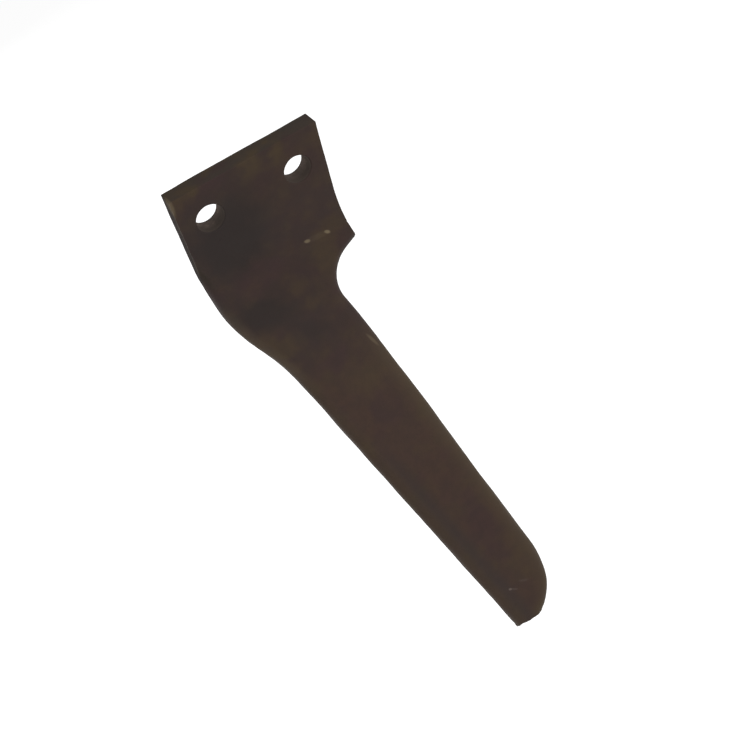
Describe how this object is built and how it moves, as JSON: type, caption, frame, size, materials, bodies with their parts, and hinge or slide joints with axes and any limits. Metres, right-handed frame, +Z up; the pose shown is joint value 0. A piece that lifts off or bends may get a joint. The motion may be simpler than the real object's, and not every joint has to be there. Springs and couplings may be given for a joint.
{
  "type": "rotary tiller blade",
  "caption": "Flat forged soil-working blade with a square bolted plate that bends forwards into a swept, tapering blade with a scoop, rounded edges and a worn toe.",
  "frame": {"origin": "midway between the centres of the two bolt holes, on the plate's rear face, which seats on the rotor", "axes": "+X along the line of the holes, towards the side the blade sweeps to; +Z up, towards the plate's square end; +Y is the rear face's outward normal, and the blade bends towards -Y"},
  "size_m": [0.1189, 0.1778, 0.3604],
  "materials": {
    "forged_steel": "dark brown-black satin coat over forged steel, slightly uneven"
  },
  "bodies": {
    "root": {"tiller_blade": "forged_steel"}
  },
  "joints": []
}
